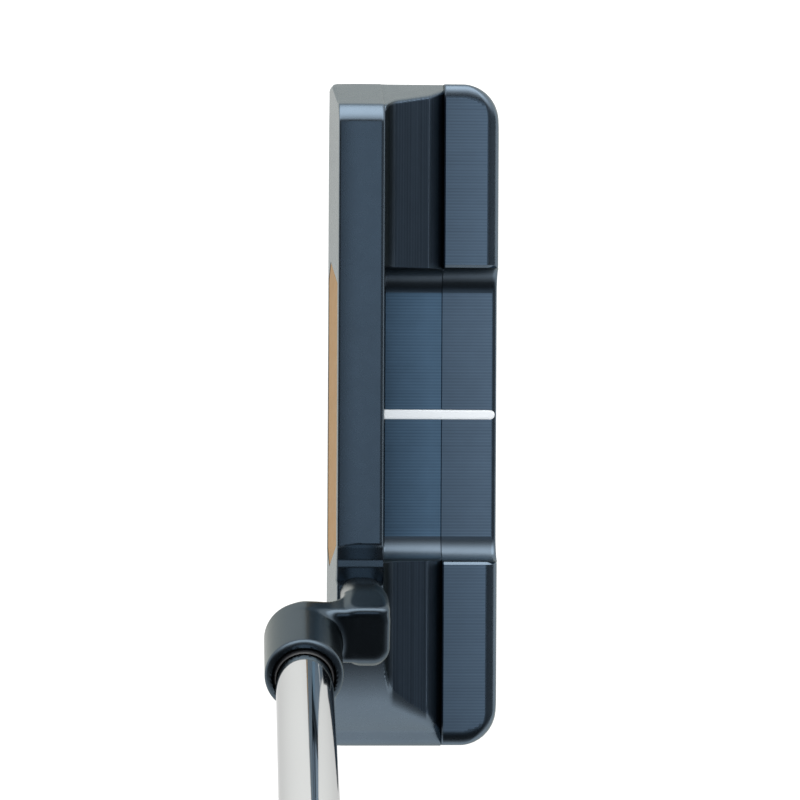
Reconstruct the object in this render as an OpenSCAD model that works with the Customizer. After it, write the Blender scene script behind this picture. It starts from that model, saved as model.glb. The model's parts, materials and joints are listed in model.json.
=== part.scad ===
// Milled wide-blade putter with a crank neck, standing on its sole at address.
// +Z is up, +Y runs from heel to toe, -X is the way the face looks. All sizes are in millimetres.
// The origin is the middle of the flat sole pad, straight under the alignment line.

/* [Head] */
// Heel-to-toe length of the head
head_length = 119.6; // [110:0.2:126]
// Height of the topline above the ground
head_height = 25.5; // [24:0.5:28]
// X of the rear wall
rear_x = 15.2; // [14:0.1:18]
// Width of the topline
topline_width = 8.1; // [7:0.1:9]
// Loft of the face in degrees
face_loft = 3; // [2:0.5:4]
// Height of the two rear wings
wing_height = 13.0; // [12:0.1:13.5]
// X where the channel ends and a wing begins
wing_front_x = 5.3; // [4.5:0.1:6.5]
// Radius of the rear corners seen from above
corner_radius = 6.5; // [4:0.5:8]

/* [Centre pocket] */
// Height of the pocket floor
pocket_floor = 8.6; // [8:0.1:9.5]
// Half of the pocket's length along Y
pocket_half = 26.4; // [22:0.2:28]
// Radius of the cove at each end of the pocket
pocket_cove = 4.4; // [4.2:0.1:6]
// Width of the white alignment line
line_width = 1.75; // [1.2:0.05:2.5]

/* [Face insert] */
// Half of the insert's length at its lowest edge
insert_half_low = 27.3; // [26:0.1:29]
// Half of the insert's length at its top edge
insert_half_top = 22.8; // [20:0.1:25]
// Thickness of the metal face plate
insert_plate = 1.6; // [1.2:0.1:2.5]
// Thickness of the elastomer backer behind the plate
insert_backer_t = 1.8; // [1:0.1:2.5]

/* [Neck] */
// Angle between the shaft and the ground in degrees
lie = 70; // [68:0.5:72]
// X of the shaft's axis
hosel_x = -20.5; // [-21.5:0.1:-20]
// Outer diameter of the hosel tube
hosel_d = 13.1; // [12.6:0.1:13.6]
// Length of the hosel tube
hosel_length = 17.8; // [17:0.1:22]

/* [Shaft] */
// Length of the club along the shaft, from the ground to the butt
club_length = 889; // [838:1:914]
// Diameter of the shaft's tip
shaft_tip_d = 9.4; // [9.2:0.05:9.4]
// Diameter of the shaft under the grip
shaft_butt_d = 14.8; // [14:0.1:15.2]
// Number of steps in the shaft
shaft_steps = 12; // [8:1:14]
// Wall thickness of the shaft
shaft_wall = 0.6; // [0.5:0.05:0.8]

/* [Grip] */
// Length of the grip
grip_length = 267; // [250:1:280]
// Width of the grip at the butt
grip_butt_w = 26; // [25:0.5:28]
// Width of the grip at its mouth
grip_mouth_w = 20; // [19.5:0.5:22]

/* [Sole weights] */
// Distance of each weight from the middle of the head
weight_y = 38; // [34:1:40]
// Diameter of a weight's flange
weight_d = 13; // [12:0.5:14]
// Length of a weight's threaded shank
weight_shank = 3.6; // [3:0.1:3.8]

/* [Hidden] */
$fn = 64;

gap = 0.02;            // clearance between pieces that are bonded to each other
big = 200;             // longer than any cut
far = 2 * big;
half_length = head_length / 2;
top_front_x = -14.0;   // X of the topline's front edge
top_rear_x = top_front_x + topline_width;
sole_front_x = top_front_x - head_height * tan(face_loft);

// Frame of the shaft: its origin is on the axis at the level of the neck's arm
neck_y = -37.65;
neck_z = 51.6;
toe_r = 3.3;                            // rounding between the topline and the toe slope
toe_lean = 17;                          // lean of the toe slope from the vertical, in degrees
toe_crease = 15;                        // angle of the crease where that rounding starts
toe_run = 7.85;                         // from the crease to the end of the head
shoulder_r = 33;                        // large arc of the heel shoulder
ground_w = -neck_z / sin(lie);          // where the axis meets the ground
butt_w = ground_w + club_length;
tube_low = -2.5;                        // lower end of the hosel tube
tube_top = tube_low + hosel_length;
hosel_r = hosel_d / 2;
bore_r = 4.85;
lip_r = 5.3;                            // counterbore at the mouth, filled by the epoxy ring
lip_depth = 2.2;
lip_chamfer = 0.8;
shaft_low = tube_low + 2.0;

// Face insert and alignment line, the insert in the frame of the face
insert_depth = insert_plate + insert_backer_t + 0.3;
insert_margin = 0.25;                   // clearance of the recess round the plate
insert_rim = 0.22;                      // how far the backer's rim stands out round the plate
insert_low = 4.2;                       // Z of the insert's lower edge, its widest point and its top
insert_mid = 8.0;
insert_high = 22.8;
insert_chamfer = 3;                     // how much shorter the lower edge is at each end
line_depth = 0.4;                       // depth of the alignment line's groove
line_end = 1.2;                         // from the line's round end to the rear wall

// Head details
channel_low = 9.8;                      // lowest level of the channel, at the foot of the wings
wing_rear_r = 2.6;                      // rounding of the wings' rear edge
notch_start_y = -22.8;                  // where the topline dips on the toe side of the neck
notch_z = 23.0;                         // level of the ledge in the notch
notch_foot = 2.2;                       // from the ledge to the foot of the neck's post
notch_dip = 0.55;                       // how far the notch falls between the two

// Neck
arch_r = 4;                             // arch between the hosel tube and the post
arm_toe = 6.2;                          // the arm's toe side, from the shaft's axis
arm_heel = -4.0;                        // the arm's heel side
arm_top = 1.6;
post_front_x = -13.5;
post_toe_y = -28.7;
post_heel_y = -42.2;

// Shaft
first_step = 230;                       // length of the parallel tip
step_run = 30;                          // length between steps
step_lip = 1.2;                         // length of each step's slope
plug_length = 9;
band_length = 26;
band_t = 0.12;
band_gap = 14;                          // bare tube between the band and the grip

// Sole weights
drive_r = 2.3;                          // hexagonal drive, across its corners
drive_depth = 2.2;
weight_sunk = 0.1;                      // how far each weight sits inside the sole
flange_t = 2.4;
seal_t = 0.8;
shank_r = 3.6;
port_clear = 0.06;                      // radial clearance of a weight in its port

// Grip, measured down the shaft from the butt
cap_t = 3.0;
grip_low = butt_w - grip_length;
grip_mid = butt_w - 150;
grip_wide = grip_mid + 90;
grip_top = butt_w - cap_t;
skin_t = 1.4;
tape_t = 0.25;
butt_r = shaft_butt_d / 2;
grip_flat = butt_r + 2.6;               // the flat's distance from the shaft's axis
vent_r = 2.0;
mid_back = 0.4;                         // how far the rear of the grip swells out at three places
low_back = 3.4;
butt_back = 3.0;
rear_share = 0.92;                      // size of the rear swelling against the round part
shaft_high = butt_w - cap_t - gap;

// Places a child in the frame of the shaft, with Z along it
module on_shaft() {
    translate([hosel_x, neck_y, neck_z]) rotate([90 - lie, 0, 0]) children();
}

// Places a child in the frame of the face, with X going into the head
module on_face() {
    translate([sole_front_x, 0, 0]) rotate([0, face_loft, 0]) children();
}

// A rectangle with round corners
module round_rect(low, high, r) {
    translate([low[0] + r, low[1]]) square([high[0] - low[0] - 2 * r, high[1] - low[1]]);
    translate([low[0], low[1] + r]) square([high[0] - low[0], high[1] - low[1] - 2 * r]);
    for (x = [low[0] + r, high[0] - r], y = [low[1] + r, high[1] - r]) translate([x, y]) circle(r);
}

// Extrudes an outline drawn in X and Z along Y, between two values of Y
module along_y(low, high) {
    translate([0, high, 0]) rotate([90, 0, 0]) linear_extrude(height = high - low) children();
}

// Extrudes an outline drawn in Y and Z along X, between two values of X
module along_x(low, high) {
    translate([low, 0, 0]) rotate([90, 0, 90]) linear_extrude(height = high - low) children();
}

// Points of an arc about a centre, from one angle to another
function arc(c, r, a, b, n = 8) =
    [for (i = [0 : n]) c + r * [cos(a + (b - a) * i / n), sin(a + (b - a) * i / n)]];

// Cross-section of the blank from face to rear wall
module blank_section() {
    polygon([
        [-7, 0], [7, 0], [11.5, 0.5], [rear_x - 0.9, 1.7], [rear_x, 3.2],
        [rear_x, head_height], [top_front_x, head_height],
        [sole_front_x + 2.4 * tan(face_loft), 2.4], [sole_front_x + 1.0, 1.1], [-11.5, 0.5]
    ]);
}

// Outline seen from above: only the rear corners are round
module blank_plan() {
    round_rect([-30, -half_length], [rear_x, half_length], corner_radius);
}

// Lower edge seen from the front, from heel to toe: the sole rises towards both ends
function low_edge() = [
    [-half_length, 5.0], [-half_length + 0.6, 3.6], [-half_length + 4.5, 2.0], [-46, 0.7], [-33, 0],
    [33, 0], [46, 0.7], [half_length - 4.5, 2.0], [half_length - 0.6, 3.6], [half_length, 5.0]
];

// Outline of the front part seen from the face: toe slope and heel shoulder
module blank_front() {
    toe_c = [half_length - toe_run - toe_r * sin(toe_crease), head_height - toe_r * cos(toe_crease)];
    polygon(concat(
        low_edge(),
        arc(toe_c, toe_r, toe_lean, 90 - toe_crease, 6),
        arc([-half_length + shoulder_r - 2.2, -5.4], shoulder_r, 111.7, 158, 12)
    ));
}

// Outline of the wings seen from the face: upright ends with a round edge
module wing_front() {
    r = wing_rear_r;
    polygon(concat(
        low_edge(),
        arc([half_length - r, wing_height - r], r, 0, 90, 6),
        arc([-half_length + r, wing_height - r], r, 90, 180, 6)
    ));
}

// What is cut away behind the topline: the channel, the step and the level of the wings
module channel_cut_section() {
    r = wing_rear_r;
    polygon(concat(
        [[top_rear_x, head_height + 5], [top_rear_x, head_height - 0.8], [-5.4, 22.4]],
        [[-4.9, 21.1], [-4.1, 20.2], [-2.6, 19.4], [-0.6, 18.5], [1.2, 17.2]],
        [[2.8, 15.2], [4.2, 12.6], [wing_front_x, channel_low]],
        [[wing_front_x, wing_height]],
        arc([rear_x - r, wing_height - r], r, 90, 0, 6),
        [[rear_x + 5, wing_height - r], [rear_x + 5, head_height + 5]]
    ));
}

// The centre pocket in Y and Z, with a cove at each end
module pocket_section() {
    c = pocket_half - pocket_cove;
    polygon(concat(
        [[-pocket_half, head_height + 5], [-pocket_half, pocket_floor + pocket_cove]],
        arc([-c, pocket_floor + pocket_cove], pocket_cove, 180, 270),
        arc([c, pocket_floor + pocket_cove], pocket_cove, 270, 360),
        [[pocket_half, head_height + 5]]
    ));
}

// The notch in the topline on the toe side of the neck
module notch_section() {
    polygon(concat(
        [[notch_start_y, head_height + 5], [notch_start_y, head_height]],
        arc([notch_start_y - 2.0, head_height - 0.5], 2.0, 14, -60, 5),
        [[post_toe_y + notch_foot, notch_z], [post_toe_y, notch_z - notch_dip]],
        [[post_toe_y, head_height + 5]]
    ));
}

// Outline of the insert in the face's Y and Z, grown by a margin
module insert_outline(grow = 0) {
    low = insert_low - grow;
    high = insert_high + grow;
    a = insert_half_low + grow;
    b = insert_half_top + grow;
    c = a - insert_chamfer;
    polygon([[-c, low], [c, low], [a, insert_mid], [b, high], [-b, high], [-a, insert_mid]]);
}

// The crank neck: post, arm and hosel tube, as solids
module neck() {
    intersection() {
        translate([0, 0, 12]) linear_extrude(height = 50)
            round_rect([post_front_x, post_heel_y], [top_rear_x, post_toe_y], 2.4);
        on_shaft() translate([-big, -big, -far]) cube([far, big + arm_toe, far + arm_top]);
    }
    on_shaft() {
        translate([0, 0, tube_low]) cylinder(r = hosel_r, h = hosel_length);
        intersection() {
            along_y(arm_heel, arm_toe) arm_section();
            linear_extrude(height = 60, center = true)
                round_rect([-3, arm_heel], [top_rear_x - hosel_x, arm_toe], 2.4);
        }
    }
}

// Side view of the arm in the shaft's frame, with the arch under it
module arm_section() {
    x_post = post_front_x - hosel_x;
    polygon(concat(
        [[-3, tube_low], [-3, arm_top], [top_rear_x - hosel_x, arm_top]],
        [[top_rear_x - hosel_x, -7], [x_post, -7]],
        arc([x_post - arch_r, tube_low - arch_r], arch_r, 0, 90, 6)
    ));
}

// Port in the sole for one weight: a counterbore and a threaded hole
module weight_port() {
    translate([0, 0, -1]) cylinder(r = weight_d / 2 + port_clear, h = 1 + flange_t + seal_t + 0.3);
    translate([0, 0, -1]) cylinder(r = shank_r + port_clear, h = 2.4 + flange_t + seal_t + weight_shank);
}

module head_body() {
    color("midnightblue") difference() {
        union() {
            difference() {
                intersection() {
                    along_y(-half_length, half_length) blank_section();
                    union() {
                        along_x(-big, wing_front_x + 0.5) blank_front();
                        along_x(wing_front_x, big) wing_front();
                    }
                    translate([0, 0, -1]) linear_extrude(height = 40) blank_plan();
                }
                along_y(-big, big) channel_cut_section();
                along_x(top_rear_x, big) pocket_section();
                along_x(-big, top_rear_x + 0.3) notch_section();
            }
            neck();
        }
        on_shaft() {
            translate([0, 0, tube_low + 1.6]) cylinder(r = bore_r, h = hosel_length);
            translate([0, 0, tube_top - lip_depth]) cylinder(r = lip_r, h = lip_depth + 1);
            translate([0, 0, tube_top - lip_chamfer])
                rotate_extrude() polygon([[0, 0], [lip_r, 0], [lip_r + 0.75, lip_chamfer + gap], [0, 2]]);
        }
        on_face() along_x(-1, insert_depth) insert_outline(insert_margin);
        line_groove(0, 2);
        for (y = [-weight_y, weight_y]) translate([0, y, 0]) weight_port();
    }
}

// The groove of the alignment line, or its paint when shrunk by the bonding gap
module line_groove(shrink, rise) {
    w = line_width / 2 - shrink;
    x0 = top_rear_x + 0.3 + shrink;
    x1 = rear_x - line_end;
    h = line_depth - shrink;
    translate([0, 0, pocket_floor - h]) linear_extrude(height = h + rise) {
        translate([x0, -w]) square([x1 - x0, 2 * w]);
        translate([x1, 0]) circle(w);
    }
}

module face_insert() {
    color("peru") on_face() along_x(0.05, insert_plate) insert_outline(0);
}

// The backer is a shallow tray whose thin rim shows round the plate
module insert_backer() {
    color("gainsboro") on_face() difference() {
        along_x(0.12, insert_plate + insert_backer_t) insert_outline(insert_rim);
        along_x(-1, insert_plate + gap) insert_outline(gap);
    }
}

module insert_bond() {
    color("black") on_face()
        along_x(insert_plate + insert_backer_t + gap, insert_depth - gap) insert_outline(-0.4);
}

module alignment_line() {
    color("white") line_groove(gap, 0);
}

// One screw-in sole weight with a hexagonal drive, seen from below
module sole_weight() {
    top = flange_t + seal_t + 0.25;
    difference() {
        union() {
            translate([0, 0, weight_sunk]) cylinder(r = weight_d / 2, h = flange_t - weight_sunk);
            translate([0, 0, weight_sunk]) cylinder(r = shank_r, h = top + weight_shank - weight_sunk);
        }
        translate([0, 0, -1]) cylinder(r = drive_r, h = 1 + drive_depth, $fn = 6);
    }
}

// Sealing ring between a weight's flange and the floor of its port
module weight_seal() {
    translate([0, 0, flange_t + gap]) difference() {
        cylinder(r = weight_d / 2 - 0.3, h = seal_t + 0.2);
        translate([0, 0, -1]) cylinder(r = shank_r + 0.15, h = seal_t + 3);
    }
}

module toe_weight() {
    color("slategray") translate([0, weight_y, 0]) sole_weight();
}

module heel_weight() {
    color("slategray") translate([0, -weight_y, 0]) sole_weight();
}

module toe_weight_seal() {
    color("black") translate([0, weight_y, 0]) weight_seal();
}

module heel_weight_seal() {
    color("black") translate([0, -weight_y, 0]) weight_seal();
}

// Adhesive sleeve round the shaft's tip, with a collar that shows at the mouth
module hosel_epoxy() {
    inner = shaft_tip_d / 2 + gap;
    collar = tube_top - lip_depth;
    color("black") on_shaft() rotate_extrude() polygon([
        [inner, shaft_low], [bore_r - gap, shaft_low], [bore_r - gap, collar + gap],
        [lip_r - gap, collar + gap], [lip_r - gap, tube_top - 1.0], [inner, tube_top + 0.6]
    ]);
}

// The shaft grows by one small step at a time, from the tip to the part under the grip
function step_r(i) = shaft_tip_d / 2 + (shaft_butt_d - shaft_tip_d) / 2 * i / shaft_steps;
function step_w(i) = shaft_low + first_step + step_run * i;

module shaft() {
    outer = concat(
        [[shaft_tip_d / 2, shaft_low]],
        [for (i = [1 : shaft_steps], e = [0, 1]) [step_r(i - 1 + e), step_w(i - 1) + step_lip * e]],
        [[shaft_butt_d / 2, shaft_high]]
    );
    inner = [for (i = [len(outer) - 1 : -1 : 0]) outer[i] - [shaft_wall, 0]];
    color("silver") on_shaft() rotate_extrude() polygon(concat(outer, inner));
}

module shaft_tip_plug() {
    color("tan") on_shaft() translate([0, 0, shaft_low + 0.5])
        cylinder(r = shaft_tip_d / 2 - shaft_wall - gap, h = plug_length);
}

// Plain band of film round the shaft below the grip
module shaft_band() {
    low = grip_low - band_gap - band_length;
    color("navy") on_shaft() translate([0, 0, low]) difference() {
        cylinder(r = butt_r + band_t, h = band_length);
        translate([0, 0, -1]) cylinder(r = butt_r + gap, h = band_length + 2);
    }
}

module grip_tape() {
    color("wheat") on_shaft() translate([0, 0, grip_low + 2]) difference() {
        cylinder(r = butt_r + tape_t - gap, h = grip_length - cap_t - 3);
        translate([0, 0, -1]) cylinder(r = butt_r + gap, h = grip_length);
    }
}

// Slice of the grip: round at the back, flat on the side that faces away from the player
module grip_slice(w, width, back, inset, h = 0.2) {
    r = width / 2 - inset;
    translate([0, 0, w]) linear_extrude(height = h) intersection() {
        hull() {
            circle(r, $fn = 32);
            translate([0, -back]) circle(r * rear_share, $fn = 32);
        }
        translate([-width, -big]) square([2 * width, big + grip_flat - inset]);
    }
}

// Pistol-shaped body of the grip, drawn smaller by an inset
module grip_form(inset, low, high) {
    mid_w = (grip_butt_w + grip_mouth_w) / 2 - 0.5;
    hull() {
        grip_slice(low, grip_mouth_w, 0, inset);
        grip_slice(grip_mid, mid_w, mid_back, inset);
    }
    hull() {
        grip_slice(grip_mid, mid_w, mid_back, inset);
        grip_slice(grip_wide, grip_butt_w - 1.5, low_back, inset);
    }
    hull() {
        grip_slice(grip_wide, grip_butt_w - 1.5, low_back, inset);
        grip_slice(high - 0.2, grip_butt_w, butt_back, inset);
    }
}

module grip_core() {
    color("dimgray") on_shaft() difference() {
        grip_form(skin_t + gap, grip_low + 1, grip_top - gap);
        translate([0, 0, grip_low - 1]) cylinder(r = butt_r + tape_t, h = grip_length + 2);
    }
}

module grip_cover() {
    color("black") on_shaft() difference() {
        grip_form(0, grip_low, grip_top);
        grip_form(skin_t, grip_low + 1, grip_top + 0.2);
        translate([0, 0, grip_low - 1]) cylinder(r = butt_r + tape_t, h = 5);
    }
}

// Rubber end cap with the vent hole in its middle
module grip_cap() {
    r = grip_butt_w / 2;
    color("black") on_shaft() translate([0, 0, grip_top + gap]) difference() {
        linear_extrude(height = cap_t - gap) intersection() {
            union() {
                circle(r);
                translate([0, -butt_back]) circle(r * rear_share);
            }
            translate([-2 * r, -big]) square([4 * r, big + grip_flat]);
        }
        translate([0, 0, -1]) cylinder(r = vent_r, h = cap_t + 2);
    }
}

head_body();
face_insert();
insert_backer();
insert_bond();
alignment_line();
toe_weight();
toe_weight_seal();
heel_weight();
heel_weight_seal();
hosel_epoxy();
shaft();
shaft_tip_plug();
shaft_band();
grip_tape();
grip_core();
grip_cover();
grip_cap();
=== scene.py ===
"""Looks of the milled putter: meshes, materials, floor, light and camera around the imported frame."""

import json
import math

import bmesh
import bpy
import numpy as np
from mathutils import Matrix, Vector


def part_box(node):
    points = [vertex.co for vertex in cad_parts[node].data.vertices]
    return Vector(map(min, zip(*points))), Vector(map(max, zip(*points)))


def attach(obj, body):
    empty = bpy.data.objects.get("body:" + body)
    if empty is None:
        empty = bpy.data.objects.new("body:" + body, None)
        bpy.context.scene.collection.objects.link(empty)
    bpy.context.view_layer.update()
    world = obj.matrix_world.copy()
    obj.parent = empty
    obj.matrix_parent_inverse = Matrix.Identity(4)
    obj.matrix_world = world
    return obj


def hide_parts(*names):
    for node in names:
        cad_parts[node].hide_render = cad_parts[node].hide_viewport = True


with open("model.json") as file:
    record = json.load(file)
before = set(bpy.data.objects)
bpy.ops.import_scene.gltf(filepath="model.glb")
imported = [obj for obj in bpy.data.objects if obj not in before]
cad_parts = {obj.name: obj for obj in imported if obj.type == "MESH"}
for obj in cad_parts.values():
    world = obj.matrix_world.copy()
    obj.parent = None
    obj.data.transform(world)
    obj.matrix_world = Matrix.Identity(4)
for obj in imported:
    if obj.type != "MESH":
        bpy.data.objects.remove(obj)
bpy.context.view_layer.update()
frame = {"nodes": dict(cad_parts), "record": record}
MM = 0.001


# ---------------------------------------------------------------- frame

def box_mm(node):
    """Lowest and highest corner of a CAD node in millimetres."""
    low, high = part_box(node)
    return np.array(low) / MM, np.array(high) / MM


def mount(name):
    """One mount of the record."""
    return next(m for m in frame["record"]["mounts"] if m["name"] == name)


HEAD_HIGH = box_mm("head_body")[1]
LINE_LOW, LINE_HIGH = box_mm("alignment_line")
WEIGHT_LOW, WEIGHT_HIGH = box_mm("toe_weight")

HALF = HEAD_HIGH[1]                       # half of the head's length
REAR = HEAD_HIGH[0]                       # X of the rear wall
FLOOR = LINE_HIGH[2]                      # level of the pocket floor
TOPLINE = 25.5                            # height of the topline
LOFT = math.radians(3)
TOP_FRONT = -14.0                         # X of the topline's front edge
TOP_REAR = LINE_LOW[0] - 0.32             # X of the topline's rear edge
TOP_WALL = 22.0                           # steepness of the wall behind the topline
FACE_FOOT = -15.3                         # X where the face meets the sole
WING_X = 5.3                              # X where a wing starts
WING = 13.0                               # height of a wing
CHANNEL_TOP = 25.3                        # level where the channel meets the topline's wall
COVE = 4.4                                # radius of the cove at each end of the pocket
POCKET = 26.4                             # half of the pocket's length
POCKET_FRONT = 26.15                      # the same for its front part, beside the channel
TOE_START = HALF - 8.35                   # Y where the topline starts to fall to the toe
ROLL = 2.2                                # rounding along the rear and the ends of the wings
END_ROLL = 2.6                            # the same along their ends
DRAFT = 0.35                              # how much the wings' end walls lean in
CORNER = 6.5                              # rear corners seen from above
FRONT_CORNER = 1.2                        # front corners seen from above
KNEE = 8.2                                # where the channel steepens, behind the topline
NOTCH_LOW, NOTCH_HIGH = -29.3, -22.7      # Y of the topline's steps beside the neck
RIM = 0.25                                # width of the backer's edge round the insert
RECESS = 3.7                              # depth of the insert's recess
FLANGE, SHANK = 6.5, 3.6                  # radii of a sole weight
PORT_GAP = 0.06                           # clearance round it
LINE_GAP = 0.02                           # clearance round the sight line's paint

AXIS = np.array(mount("butt_vent")["axis"])
BUTT = np.array(mount("butt_vent")["pos_m"]) / MM + 1.5 * AXIS
ACROSS = np.array([1.0, 0.0, 0.0])
TOEWARD = np.cross(AXIS, ACROSS)          # square to the shaft, on its upper side
NECK_Z = 51.6                             # the neck's own origin on the shaft axis
NECK = BUTT + AXIS * (NECK_Z - BUTT[2]) / AXIS[2]
BUTT_W = float(np.dot(BUTT - NECK, AXIS))
SHAFT_LOW = -0.5                          # the shaft's tip, along the axis from the neck's origin
ARM_TOP = 1.6                             # top of the neck's arm, along the same axis
ARCH = 4.0                                # radius under the neck's arm
ARM_LOW = -2.5                            # underside of the arm
POST_FRONT = -13.5                        # X of the front of the neck's post
TUBE = 6.5                                # radius of the hosel
BORE, MOUTH_BORE = 4.85, 5.3              # radius of its bore, and of the bore's wider mouth
MOUTH, LIP = 13.1, 15.45                  # where the mouth starts, and the top of the lip
NECK_FOOT = 16.0                          # Z of the post's lower end, inside the head
GRIP = 267.0                              # length of the grip
CAP = 3.0                                 # thickness of its end cap
VENT = 2.0                                # radius of the vent hole in the cap
UP = np.array([0.0, 0.0, 1.0])


def on_shaft(x, e, w):
    """Points in the frame of the shaft, as an array of X, Y and Z in millimetres."""
    x, e, w = np.broadcast_arrays(x, e, w)
    return NECK + x[..., None] * ACROSS + e[..., None] * TOEWARD + w[..., None] * AXIS


def smin(a, b, r):
    """The lower of two heights, with their corner rounded over about r."""
    h = np.maximum(r - np.abs(a - b), 0)
    return np.minimum(a, b) - h * h / (4 * r)


def smax(a, b, r):
    """The higher of two heights, with their corner rounded over about r."""
    return -smin(-a, -b, r)


# ---------------------------------------------------------------- mesh helpers

def make_mesh(name, verts, faces, slots=None, sharp=35):
    """A smooth-shaded object from points in millimetres and lists of faces."""
    mesh = bpy.data.meshes.new(name)
    mesh.from_pydata((np.asarray(verts, float) * MM).tolist(), [], faces)
    mesh.validate()
    mesh.shade_smooth()
    mesh.set_sharp_from_angle(angle=math.radians(sharp))
    if slots is not None:
        mesh.polygons.foreach_set("material_index", np.asarray(slots, np.int32))
    obj = bpy.data.objects.new(name, mesh)
    bpy.context.scene.collection.objects.link(obj)
    return obj


def grid_faces(rows, cols):
    """Quads of a grid of points that is closed along its columns."""
    r, c = np.meshgrid(np.arange(rows - 1), np.arange(cols), indexing="ij")
    n = (c + 1) % cols
    quads = np.stack([r * cols + c, r * cols + n, (r + 1) * cols + n, (r + 1) * cols + c], -1)
    return quads.reshape(-1, 4)


def ring_faces(rows, cols):
    """Quads of a grid of points that is closed both ways."""
    r, c = np.meshgrid(np.arange(rows), np.arange(cols), indexing="ij")
    down, n = (r + 1) % rows, (c + 1) % cols
    quads = np.stack([r * cols + c, down * cols + c, down * cols + n, r * cols + n], -1)
    return quads.reshape(-1, 4).tolist()


def lathe(name, profile, origin, axis, side, segments=96, sharp=35):
    """Turns a closed profile of (radius, distance along the axis) about an axis."""
    profile = np.asarray(profile, float)
    other = np.cross(axis, side)
    t = np.linspace(0, 2 * math.pi, segments, endpoint=False)
    ring = np.cos(t)[:, None] * side + np.sin(t)[:, None] * other
    points = origin + profile[:, 1][None, :, None] * axis + profile[:, 0][None, :, None] * ring[:, None, :]
    obj = make_mesh(name, points.reshape(-1, 3), ring_faces(segments, len(profile)), sharp=sharp)
    weld(obj)
    return obj


def stacked(name, outlines, sharp=35):
    """A solid that runs through a stack of outlines with the same number of points."""
    rows, count = len(outlines), len(outlines[0])
    faces = grid_faces(rows, count).tolist()
    faces.append(list(range(count)))
    faces.append(list(range(rows * count - 1, (rows - 1) * count - 1, -1)))
    obj = make_mesh(name, np.concatenate(outlines), faces, sharp=sharp)
    weld(obj)
    return obj


def weld(obj):
    """Joins points that share a place and drops the faces that this flattens."""
    gap = 1e-7
    bm = bmesh.new()
    bm.from_mesh(obj.data)
    bmesh.ops.remove_doubles(bm, verts=bm.verts, dist=gap)
    bmesh.ops.dissolve_degenerate(bm, edges=bm.edges, dist=gap)
    bmesh.ops.recalc_face_normals(bm, faces=bm.faces)
    bm.to_mesh(obj.data)
    bm.free()


def cut(obj, cutter):
    """Takes a cutter's shape away from an object for good, and removes the cutter."""
    mod = obj.modifiers.new("cut", "BOOLEAN")
    mod.operation = "DIFFERENCE"
    mod.solver = "EXACT"
    mod.object = cutter
    apply_modifiers(obj)
    bpy.data.objects.remove(cutter)


def apply_modifiers(obj):
    """Puts the result of an object's modifiers in its mesh."""
    graph = bpy.context.evaluated_depsgraph_get()
    done = bpy.data.meshes.new_from_object(obj.evaluated_get(graph))
    obj.modifiers.clear()
    obj.data = done


def finish_edges(obj, angle):
    """Smooth shading with sharp edges again after a cut."""
    obj.data.shade_smooth()
    obj.data.set_sharp_from_angle(angle=math.radians(angle))


def surface_nets(field, low, high, step):
    """Points and quads on the zero level of a field that is negative inside."""
    axes = [np.arange(low[k], high[k] + step, step) for k in range(3)]
    values = np.empty([len(a) for a in axes], np.float32)
    for i, x in enumerate(axes[0]):
        p = np.stack(np.meshgrid([x], axes[1], axes[2], indexing="ij"), -1)
        values[i] = field(p)[0]
    inside = values < 0
    # One point for each cell that the surface crosses, at the mean of its crossed edges.
    corners = [(i, j, k) for i in (0, 1) for j in (0, 1) for k in (0, 1)]
    n = np.array(inside.shape) - 1
    part = [inside[i:n[0] + i, j:n[1] + j, k:n[2] + k] for i, j, k in corners]
    count = sum(p.astype(np.int8) for p in part)
    cells = np.argwhere((count > 0) & (count < 8))
    index = -np.ones(n, np.int64)
    index[tuple(cells.T)] = np.arange(len(cells))
    total = np.zeros((len(cells), 3))
    hits = np.zeros(len(cells))
    for a in corners:
        for k in range(3):
            if a[k]:
                continue
            b = tuple(1 if m == k else a[m] for m in range(3))
            va = values[tuple((cells + a).T)]
            vb = values[tuple((cells + b).T)]
            cross = (va < 0) != (vb < 0)
            t = np.where(cross, va / np.where(cross, va - vb, 1), 0)
            point = np.array(a, float) + t[:, None] * (np.array(b) - np.array(a))
            total += point * cross[:, None]
            hits += cross
    points = (cells + total / hits[:, None]) * step + np.array([a[0] for a in axes])
    # One quad for each grid edge that the surface crosses, through the four cells round it.
    faces = []
    for k in range(3):
        i, j = (k + 1) % 3, (k + 2) % 3
        first = [slice(1, -1)] * 3
        second = [slice(1, -1)] * 3
        first[k] = slice(0, -1)
        second[k] = slice(1, None)
        a, b = inside[tuple(first)], inside[tuple(second)]
        edges = np.argwhere(a != b)
        base = edges + 1
        base[:, k] -= 1
        flip = a[tuple(edges.T)]
        quad = []
        for di, dj in ((0, 0), (1, 0), (1, 1), (0, 1)):
            cell = base.copy()
            cell[:, i] -= di
            cell[:, j] -= dj
            quad.append(index[tuple(cell.T)])
        quad = np.stack(quad, -1)
        quad[~flip] = quad[~flip][:, ::-1]
        faces.append(quad)
    # Newton steps move the points onto the surface.
    h = step * 0.05
    for _ in range(4):
        here = field(points)
        slope = np.stack([field(points + h * np.eye(3)[k]) - field(points - h * np.eye(3)[k])
                          for k in range(3)], -1) / (2 * h)
        size = np.maximum((slope ** 2).sum(-1), 0.2)
        move = (here / size)[:, None] * slope
        points = points - np.clip(move, -step * 0.5, step * 0.5)
    return points, np.concatenate(faces)[:, ::-1]


# ---------------------------------------------------------------- materials

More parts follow.
